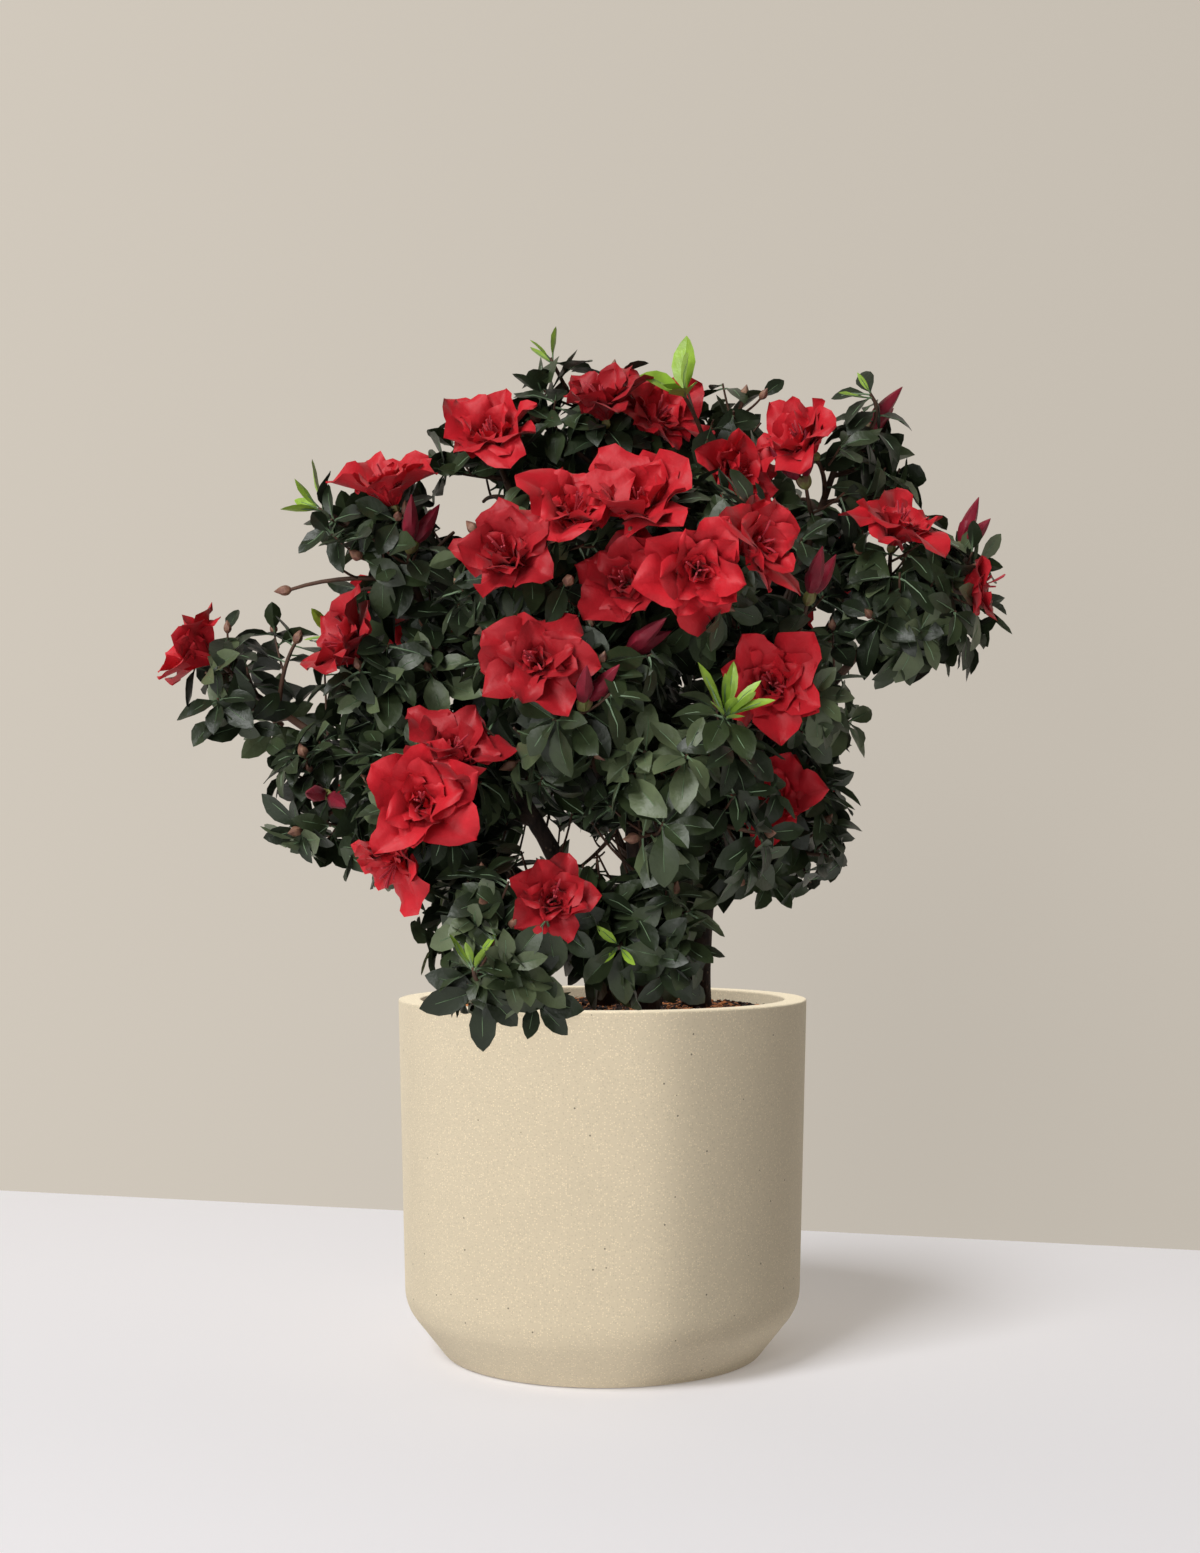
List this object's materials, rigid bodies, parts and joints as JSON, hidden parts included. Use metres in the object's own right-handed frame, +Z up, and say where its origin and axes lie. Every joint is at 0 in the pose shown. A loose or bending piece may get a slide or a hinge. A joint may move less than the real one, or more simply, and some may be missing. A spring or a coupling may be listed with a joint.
{
  "type": "potted azalea shrub",
  "caption": "Bushy red-flowered azalea shrub with several stems, standing in a round cast planter with a chamfered foot.",
  "frame": {"origin": "centre of the planter's flat underside, where it stands on the floor", "axes": "+Z up along the planter's axis, +X to the right and +Y to the back as seen from the front"},
  "size_m": [0.5746, 0.4312, 0.7101],
  "materials": {
    "cast_stone": "matte cream cast stone with a fine sandy grain",
    "potting_mix": "moist dark potting mix with bark chips",
    "bark": "rough dark brown bark",
    "foliage": "semi-matte dark green leaves with red blooms"
  },
  "bodies": {
    "root": {"planter": "cast_stone", "potting_mix": "potting_mix", "trunk_back": "bark", "trunk_front": "bark", "trunk_left": "bark", "trunk_middle": "bark", "trunk_right": "bark", "bough_back_high": "bark", "bough_back_high_left": "bark", "bough_back_high_right": "bark", "bough_back_low": "bark", "bough_back_low_left": "bark", "bough_back_low_right": "bark", "bough_back_top": "bark", "bough_far_left": "bark", "bough_front_low": "bark", "bough_front_mid": "bark", "bough_front_right": "bark", "bough_front_upper_left": "bark", "bough_front_upper_right": "bark", "bough_left_front": "bark", "bough_left_low": "bark", "bough_left_mid": "bark", "bough_left_upper": "bark", "bough_right": "bark", "bough_right_low": "bark", "bough_right_mid": "bark", "bough_right_upper": "bark", "bough_rim_left": "bark", "bough_top": "bark", "bough_top_left": "bark", "bough_top_right": "bark", "foliage_back_high": "foliage", "foliage_back_high_left": "foliage", "foliage_back_high_right": "foliage", "foliage_back_low": "foliage", "foliage_back_low_left": "foliage", "foliage_back_low_right": "foliage", "foliage_back_top": "foliage", "foliage_far_left": "foliage", "foliage_front_low": "foliage", "foliage_front_mid": "foliage", "foliage_front_right": "foliage", "foliage_front_upper_left": "foliage", "foliage_front_upper_right": "foliage", "foliage_left_front": "foliage", "foliage_left_low": "foliage", "foliage_left_mid": "foliage", "foliage_left_upper": "foliage", "foliage_right": "foliage", "foliage_right_low": "foliage", "foliage_right_mid": "foliage", "foliage_right_upper": "foliage", "foliage_rim_left": "foliage", "foliage_top": "foliage", "foliage_top_left": "foliage", "foliage_top_right": "foliage"}
  },
  "joints": []
}
